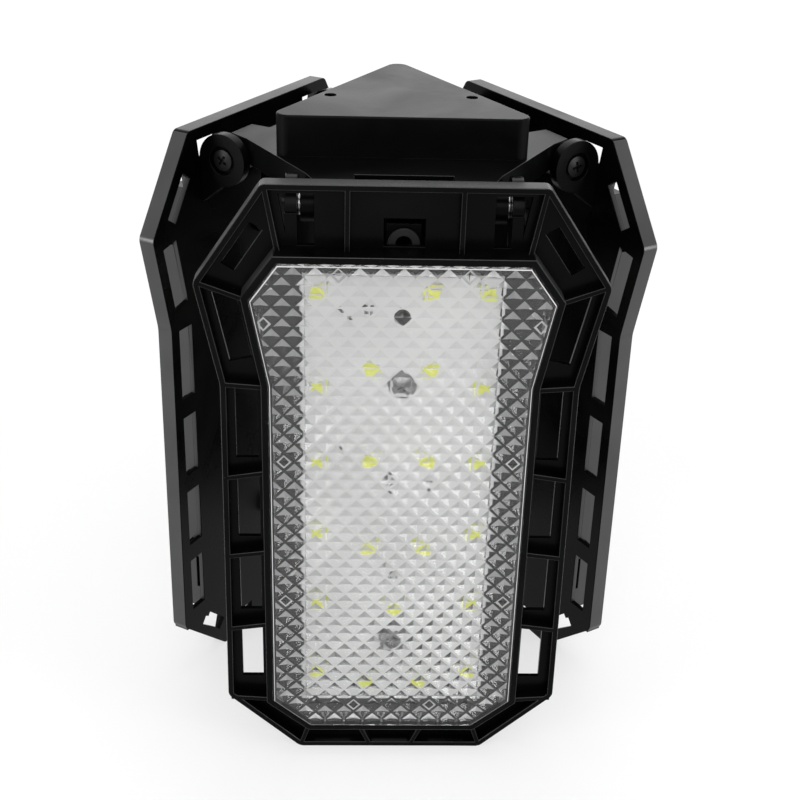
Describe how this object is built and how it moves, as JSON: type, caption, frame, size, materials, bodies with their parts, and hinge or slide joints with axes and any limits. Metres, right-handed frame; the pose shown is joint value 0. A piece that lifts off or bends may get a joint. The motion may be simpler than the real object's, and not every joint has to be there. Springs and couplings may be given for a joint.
{
  "type": "deformable garage light",
  "caption": "Screw-in LED garage light: a small hub with hinged flat panels that fold down around the base and open out level with the lid.",
  "frame": {"origin": "tip of the screw base's centre contact, on the hub's axis", "axes": "+Z along the hub's axis from the screw base to the flat lid, -Y towards the front panel (panel a), +X to its right"},
  "size_m": [0.133, 0.1195, 0.1735],
  "materials": {
    "black_plastic": "satin",
    "black_screw": "satin black",
    "circuit_board": "matt",
    "transformer_wrap": "matt",
    "capacitor_can": "satin",
    "black_rubber": "matt",
    "white_plastic": "satin",
    "nickel_shell": "bright",
    "black_insulator": "gloss",
    "brass_contact": "bright",
    "steel_washer": "satin",
    "black_casting": "gloss black paint",
    "clear_lens": "clear gloss",
    "white_board": "matt white",
    "led_phosphor": "satin",
    "steel_screw": "satin"
  },
  "bodies": {
    "hub": {"hub_lid": "black_plastic", "lid_screws": "black_screw", "hub_body": "black_plastic", "driver_housing": "black_plastic", "housing_screws": "black_screw", "driver_board": "circuit_board", "driver_transformer": "transformer_wrap", "driver_rectifier": "black_plastic", "driver_capacitors": "capacitor_can", "spout_grommets": "black_rubber", "base_collar": "white_plastic", "screw_shell": "nickel_shell", "base_insulator": "black_insulator", "base_contact": "brass_contact", "hinge_screws_a": "black_screw", "hinge_washers_a": "steel_washer", "hinge_screws_b": "black_screw", "hinge_washers_b": "steel_washer", "hinge_screws_c": "black_screw", "hinge_washers_c": "steel_washer"},
    "panel_a": {"frame_a": "black_casting", "lens_a": "clear_lens", "board_a": "white_board", "leds_a": "led_phosphor", "board_screws_a": "steel_screw", "grommet_a": "black_rubber"},
    "panel_b": {"frame_b": "black_casting", "lens_b": "clear_lens", "board_b": "white_board", "leds_b": "led_phosphor", "board_screws_b": "steel_screw", "grommet_b": "black_rubber"},
    "panel_c": {"frame_c": "black_casting", "lens_c": "clear_lens", "board_c": "white_board", "leds_c": "led_phosphor", "board_screws_c": "steel_screw", "grommet_c": "black_rubber"}
  },
  "joints": [
    {"name": "fold_a", "type": "hinge", "parent": "hub", "child": "panel_a", "pos_m": [0, -0.037, 0.0719], "axis": [-1, 0, 0], "range_deg": [0, 90]},
    {"name": "fold_b", "type": "hinge", "parent": "hub", "child": "panel_b", "pos_m": [0.03204, 0.0185, 0.0719], "axis": [0.5, -0.866, 0], "range_deg": [0, 90]},
    {"name": "fold_c", "type": "hinge", "parent": "hub", "child": "panel_c", "pos_m": [-0.03204, 0.0185, 0.0719], "axis": [0.5, 0.866, 0], "range_deg": [0, 90]}
  ]
}
